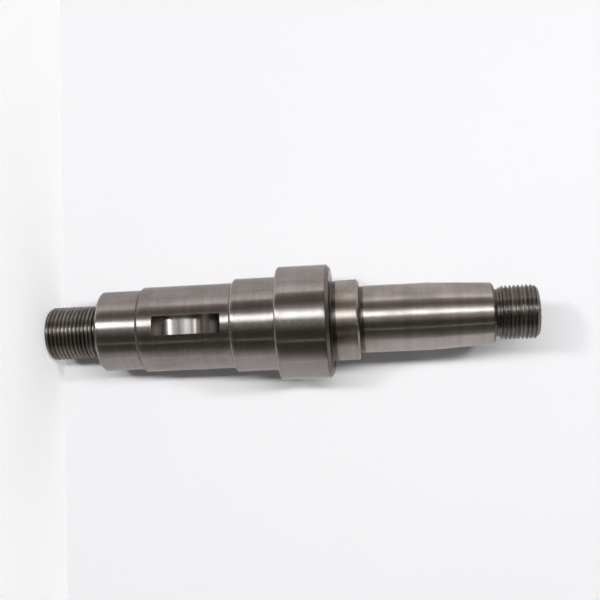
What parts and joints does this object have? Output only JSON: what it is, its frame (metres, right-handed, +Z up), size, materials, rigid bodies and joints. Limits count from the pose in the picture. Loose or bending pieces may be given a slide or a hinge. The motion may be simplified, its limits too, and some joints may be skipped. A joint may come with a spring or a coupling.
{
  "type": "water pump shaft",
  "caption": "Stepped steel shaft with a flange, a half-moon key seat, a tapered seat and a fine thread at each end.",
  "frame": {"origin": "centre of the pulley end's face, on which the shaft stands", "axes": "+Z up the shaft's axis, from the pulley end to the impeller end; the key seat faces -Y"},
  "size_m": [0.0424, 0.0424, 0.183],
  "materials": {
    "ground_steel": "turned and cylindrically ground, bare, lightly oiled"
  },
  "bodies": {
    "root": {"pump_shaft": "ground_steel"}
  },
  "joints": []
}
